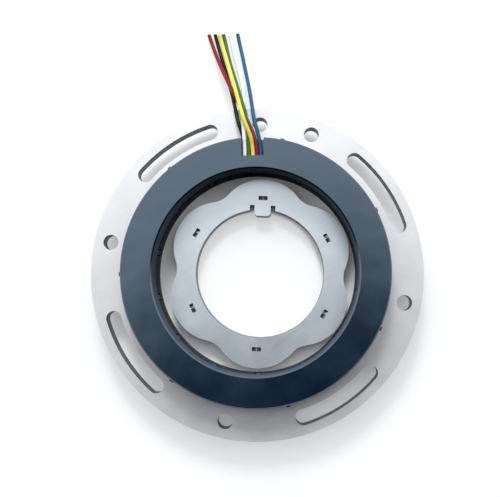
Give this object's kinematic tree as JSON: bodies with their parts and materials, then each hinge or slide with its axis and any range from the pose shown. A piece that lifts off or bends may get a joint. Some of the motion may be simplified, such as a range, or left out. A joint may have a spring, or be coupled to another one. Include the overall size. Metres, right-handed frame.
{
  "type": "frameless resolver",
  "caption": "Frameless variable-reluctance resolver: a flanged, wound stator with plastic covers and flying leads, and a loose lobed rotor with a keyed bore.",
  "frame": {"origin": "on the stator's axis, at the underside of the rear cover, which it stands on", "axes": "+Z along the axis, from the rear cover towards the front cover with the leads; the flange's four slots are centred on +X, +Y, -X and -Y"},
  "size_m": [0.12, 0.1469, 0.0198],
  "materials": {
    "stator_steel": "satin stamped face",
    "rotor_steel": "satin stamped face",
    "cover_plastic": "moulded, fine grain",
    "insulator_plastic": "moulded",
    "winding_wire": "enamelled wire",
    "pin_metal": "tinned",
    "lead_black": "smooth insulation",
    "lead_white": "smooth insulation",
    "lead_green": "smooth insulation",
    "lead_yellow": "smooth insulation",
    "lead_red": "smooth insulation",
    "lead_blue": "smooth insulation"
  },
  "bodies": {
    "stator": {"stator_core": "stator_steel", "front_insulator": "insulator_plastic", "rear_insulator": "insulator_plastic", "front_cover": "cover_plastic", "rear_cover": "cover_plastic", "lead_block": "cover_plastic", "coil_01": "winding_wire", "coil_02": "winding_wire", "coil_03": "winding_wire", "coil_04": "winding_wire", "coil_05": "winding_wire", "coil_06": "winding_wire", "coil_07": "winding_wire", "coil_08": "winding_wire", "coil_09": "winding_wire", "coil_10": "winding_wire", "coil_11": "winding_wire", "coil_12": "winding_wire", "coil_13": "winding_wire", "coil_14": "winding_wire", "terminal_pin_1": "pin_metal", "terminal_pin_2": "pin_metal", "terminal_pin_3": "pin_metal", "terminal_pin_4": "pin_metal", "terminal_pin_5": "pin_metal", "terminal_pin_6": "pin_metal", "lead_black": "lead_black", "lead_white": "lead_white", "lead_green": "lead_green", "lead_yellow": "lead_yellow", "lead_red": "lead_red", "lead_blue": "lead_blue"},
    "rotor": {"rotor_core": "rotor_steel"}
  },
  "joints": [
    {"name": "rotor_spin", "type": "hinge", "parent": "stator", "child": "rotor", "pos_m": [0.00092, -0.00077, 0], "axis": [0, 0, 1], "continuous": true}
  ]
}
